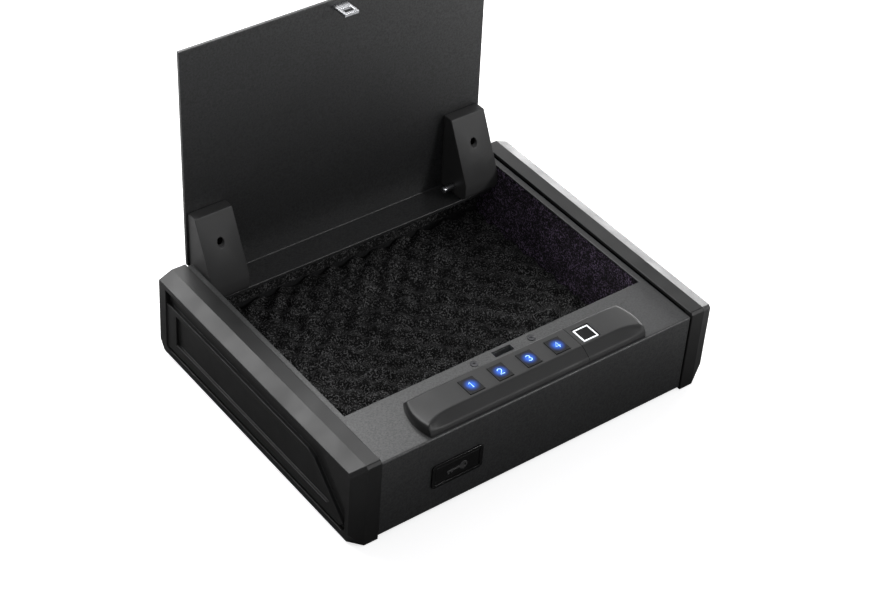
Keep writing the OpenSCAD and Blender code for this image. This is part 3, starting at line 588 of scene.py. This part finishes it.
def console_shell(name, node, start, end, openings, dish=None):
    """Hollow moulding over the deck between two X places, with openings for keys or sensor."""
    columns = sorted({start, end, *[x for box in openings for x in box[:2]]})
    rows = sorted({CONSOLE_LOW.y, CONSOLE_HIGH.y, *[y for box in openings for y in box[2:]]})
    thin = 0.03 * MM
    if dish:
        columns += [dish[0] - thin, dish[0], dish[1], dish[1] + thin]
        rows += [dish[2] - thin, dish[2], dish[3], dish[3] + thin]
    columns += [start + s for s in EDGE_STOPS[1:6]] + [end - s for s in EDGE_STOPS[1:6]]
    outer = start if start < 0 else end
    columns += [outer - math.copysign(s, outer) for s in EDGE_STOPS[6:]]
    rows += [CONSOLE_LOW.y + s for s in EDGE_STOPS[1:]] + [CONSOLE_HIGH.y - s for s in EDGE_STOPS[1:]]
    rows += [CONSOLE_LOW.y + v * MM for v in (3.6, 4.8, 6, 7.4, 8.2, 8.7, 9.2, 9.7, 10.3, 11)]
    rows += [CONSOLE_HIGH.y - v * MM for v in (5.2, 5.8, 6.3, 6.8, 7.4)]
    columns = spread(sorted(set(columns)), 2.4 * MM)
    rows = spread(sorted(set(rows)), 2.4 * MM)

    def dug(x, y):
        slack = thin / 2
        return dish and dish[0] - slack < x < dish[1] + slack and dish[2] - slack < y < dish[3] + slack

    points, faces, index = [], [], {}

    def point(kind, i, j):
        if (kind, i, j) not in index:
            x, y = console_place(columns[i], rows[j]), rows[j]
            z = console_height(x, y)
            if kind in ("inner", "inner_foot"):
                z = max(z - SHELL, DECK + 0.1 * MM)
                low = console_place(columns[0], y)
                high = console_place(columns[-1], y)
                x = inset(x, low, high, SHELL, 3.4 * MM)
                y = inset(y, CONSOLE_LOW.y, CONSOLE_HIGH.y, SHELL, 6 * MM)
            elif dug(x, y):
                z -= DISH
            if kind.endswith("foot"):
                z = DECK + 0.02 * MM
            index[kind, i, j] = len(points)
            points.append((x, y, z))
        return index[kind, i, j]

    def wall(upper, lower, a, b):
        faces.append([point(upper, *b), point(upper, *a), point(lower, *a), point(lower, *b)])

    def open_cell(i, j):
        x, y = (columns[i] + columns[i + 1]) / 2, (rows[j] + rows[j + 1]) / 2
        return any(box[0] < x < box[1] and box[2] < y < box[3] for box in openings)

    last_i, last_j = len(columns) - 1, len(rows) - 1
    solid = {(i, j) for i in range(last_i) for j in range(last_j) if not open_cell(i, j)}
    for i, j in sorted(solid):
        ring = [(i, j), (i + 1, j), (i + 1, j + 1), (i, j + 1)]
        faces.append([point("outer", *p) for p in ring])
        faces.append([point("inner", *p) for p in reversed(ring)])
        for k, (di, dj) in enumerate(((0, -1), (1, 0), (0, 1), (-1, 0))):
            if (i + di, j + dj) in solid:
                continue
            a, b = ring[k], ring[(k + 1) % 4]
            if 0 <= i + di < last_i and 0 <= j + dj < last_j:
                wall("outer", "inner", a, b)
            else:
                wall("outer", "outer_foot", a, b)
                wall("outer_foot", "inner_foot", a, b)
                wall("inner_foot", "inner", a, b)
    obj = solid_mesh(name, points, faces, LOOKS["console_plastic"])
    obj.modifiers.new("shade", "NODES").node_group = ROUNDED
    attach(obj, "body")
    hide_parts(node)


def around(node, gap):
    """X and Y limits of a node's box with a gap around it."""
    low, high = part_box(node)
    return (low.x - gap, high.x + gap, low.y - gap, high.y + gap)


KEY_FOOT = 1.1 * MM
console_shell("console_keypad", "control_housing", -CONSOLE_HIGH.x, SPLIT - 0.35 * MM,
              [around(f"key_{k}", 0.25 * MM - KEY_FOOT) for k in (1, 2, 3, 4)])
console_shell("console_reader", "biometric_housing", SPLIT, CONSOLE_HIGH.x,
              [around("sensor_frame", 0.05 * MM)], around("sensor_frame", 1.0 * MM))


# ---- digits ----

STROKE_RADIUS = 0.4 * MM
DIGIT_HALF = 2.7 * MM
STROKES = {
    1: [(-0.5, 0.5), (0.05, 1), (0.05, -1)],
    2: [(-0.6, 0.5), (-0.4, 0.85), (0, 1), (0.42, 0.85), (0.58, 0.45), (0.4, 0.05), (-0.62, -1), (0.65, -1)],
    3: [(-0.55, 0.75), (-0.2, 1), (0.25, 0.96), (0.5, 0.62), (0.38, 0.22), (-0.05, 0.05), (0.42, -0.12),
        (0.6, -0.52), (0.34, -0.9), (-0.1, -1), (-0.6, -0.72)],
    4: [(0.35, -1), (0.35, 1), (-0.65, -0.4), (0.7, -0.4)],
}


def digit(number):
    """Moulded window in a key cap in the shape of its number, drawn in rounded strokes."""
    key = f"key_{number}"
    low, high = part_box(key)
    middle = ((low.x + high.x) / 2, (low.y + high.y) / 2, high.z - 0.12 * MM)
    curve = bpy.data.curves.new(f"digit_{number}", "CURVE")
    curve.dimensions = "3D"
    curve.bevel_depth = STROKE_RADIUS
    curve.bevel_resolution = 2
    curve.use_fill_caps = True
    line = curve.splines.new("POLY")
    line.points.add(len(STROKES[number]) - 1)
    for point, (x, y) in zip(line.points, STROKES[number]):
        point.co = (DIGIT_HALF * x, DIGIT_HALF * y, 0, 1)
    stroke = bpy.data.objects.new(f"digit_curve_{number}", curve)
    bpy.context.scene.collection.objects.link(stroke)
    mesh = bpy.data.meshes.new_from_object(stroke.evaluated_get(bpy.context.evaluated_depsgraph_get()))
    bpy.data.objects.remove(stroke)
    mesh.transform(Matrix.Translation(middle))
    mesh.materials.clear()
    mesh.materials.append(DIGIT_LOOK.material)
    obj = bpy.data.objects.new(f"digit_{number}", mesh)
    bpy.context.scene.collection.objects.link(obj)
    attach(obj, key)


DIGIT_LOOK = lamp("digit", (0.4, 0.68, 1.0), 0.85)
for number in (1, 2, 3, 4):
    digit(number)


# ---- stage, lights and camera ----

AZIMUTH = math.radians(-39.569)
ELEVATION = math.radians(39.761)
ROLL = math.radians(4.328)
DISTANCE = 1.5568
TARGET = Vector((-0.0012, 0, 0.0637))


def camera():
    back = Vector((math.sin(AZIMUTH) * math.cos(ELEVATION), -math.cos(AZIMUTH) * math.cos(ELEVATION),
                   math.sin(ELEVATION)))
    right = (-back).cross(Vector((0, 0, 1))).normalized()
    up = back.cross(right)
    across = right * math.cos(ROLL) + up * math.sin(ROLL)
    above = up * math.cos(ROLL) - right * math.sin(ROLL)
    lens = bpy.data.cameras.new("camera")
    lens.lens = 89.15
    lens.sensor_width = 36
    lens.clip_start = 0.05
    obj = bpy.data.objects.new("camera", lens)
    turn = Matrix((across, above, back)).transposed().to_4x4()
    obj.matrix_world = Matrix.Translation(TARGET + back * DISTANCE) @ turn
    bpy.context.scene.collection.objects.link(obj)
    bpy.context.scene.camera = obj


def softbox(name, place, aim, size, power):
    light = bpy.data.lights.new(name, "AREA")
    light.shape = "RECTANGLE"
    light.size, light.size_y = size
    light.energy = power
    obj = bpy.data.objects.new(name, light)
    obj.location = place
    obj.rotation_euler = (Vector(aim) - Vector(place)).to_track_quat("-Z", "Y").to_euler()
    bpy.context.scene.collection.objects.link(obj)


def camera_only(tree, seen, unseen, output, socket):
    """Camera rays meet seen, and all other rays meet unseen."""
    path = tree.nodes.new("ShaderNodeLightPath")
    mix = tree.nodes.new("ShaderNodeMixShader")
    tree.links.new(path.outputs["Is Camera Ray"], mix.inputs[0])
    tree.links.new(unseen, mix.inputs[1])
    tree.links.new(seen, mix.inputs[2])
    tree.links.new(mix.outputs[0], output.inputs[socket])


def surroundings():
    """White to the camera; to the object, a dim room that is brighter overhead."""
    world = bpy.data.worlds.new("studio")
    world.use_nodes = True
    tree = world.node_tree
    white = tree.nodes["Background"]
    white.inputs["Color"].default_value = (1, 1, 1, 1)
    room = tree.nodes.new("ShaderNodeBackground")
    place = tree.nodes.new("ShaderNodeTexCoord")
    height = tree.nodes.new("ShaderNodeSeparateXYZ")
    tree.links.new(place.outputs["Generated"], height.inputs[0])
    ramp = tree.nodes.new("ShaderNodeValToRGB")
    tree.links.new(height.outputs["Z"], ramp.inputs[0])
    ramp.color_ramp.elements[0].position = 0.0
    ramp.color_ramp.elements[0].color = (0.1, 0.1, 0.1, 1)
    ramp.color_ramp.elements[1].position = 0.8
    ramp.color_ramp.elements[1].color = (0.42, 0.42, 0.43, 1)
    tree.links.new(ramp.outputs[0], room.inputs["Color"])
    camera_only(tree, white.outputs[0], room.outputs[0], tree.nodes["World Output"], "Surface")
    bpy.context.scene.world = world


def floor():
    """A pale floor that reads as white around a soft contact shadow."""
    reach = 4.0
    mesh = bpy.data.meshes.new("floor")
    mesh.from_pydata([(-reach, -reach, 0), (reach, -reach, 0), (reach, reach, 0), (-reach, reach, 0)],
                     [], [(0, 1, 2, 3)])
    look = Look("floor", specular=0.0)
    look.set("Base Color", look.drifting(grey(0.82), 0.01, 0.5))
    look.set("Roughness", 0.9)
    look.set("Emission Color", (1, 1, 1, 1))
    look.set("Emission Strength", 0.68)
    # For every ray but the camera's the floor is dim, and it is painted darker near the box: a painted
    # contact shadow that the object sees in its reflections, paler further out.
    far = look.node("VectorMath", {0: look.place}, operation="LENGTH").outputs["Value"]
    dim = look.node("BsdfDiffuse", {"Color": look.ramp(far, grey(0.12), grey(0.85), (0.24, 0.46))})
    camera_only(look.tree, look.surface.outputs[0], dim.outputs[0],
                look.tree.nodes["Material Output"], "Surface")
    mesh.materials.append(look.material)
    obj = bpy.data.objects.new("floor", mesh)
    bpy.context.scene.collection.objects.link(obj)


camera()
surroundings()
floor()
softbox("overhead", (-0.1, 1.0, 1.2), (0, 0, 0), (1.4, 0.9), 30)
softbox("rear_right", (1.15, 0.7, 0.12), (0.1, 0, 0.07), (1.1, 0.5), 17)
softbox("front_right", (0.85, -1.2, 0.8), (0.05, 0.05, 0.1), (0.3, 0.3), 6)
bpy.context.scene.view_settings.view_transform = "Standard"
